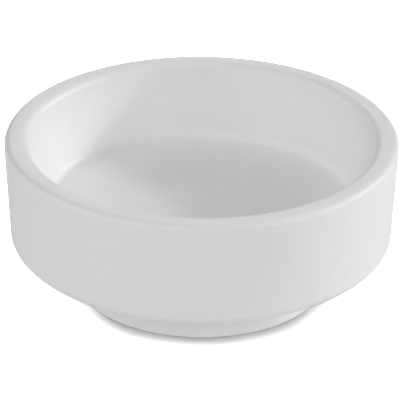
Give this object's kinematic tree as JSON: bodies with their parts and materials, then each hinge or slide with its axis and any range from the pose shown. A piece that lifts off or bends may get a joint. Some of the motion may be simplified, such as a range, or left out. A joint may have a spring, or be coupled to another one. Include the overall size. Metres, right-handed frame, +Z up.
{
  "type": "evaporating dish",
  "caption": "Low round evaporating dish: near-vertical wall, thick flat-topped rim, flat inside floor and a narrower foot ring under an overhanging base. No pouring lip.",
  "frame": {"origin": "centre of the circle on which the foot ring stands", "axes": "+Z up along the dish's axis of revolution, from the foot to the rim; +X and +Y level, and interchangeable because the dish is round"},
  "size_m": [0.08, 0.08, 0.0326],
  "materials": {
    "white_ceramic": "satin"
  },
  "bodies": {
    "root": {"dish_body": "white_ceramic"}
  },
  "joints": []
}
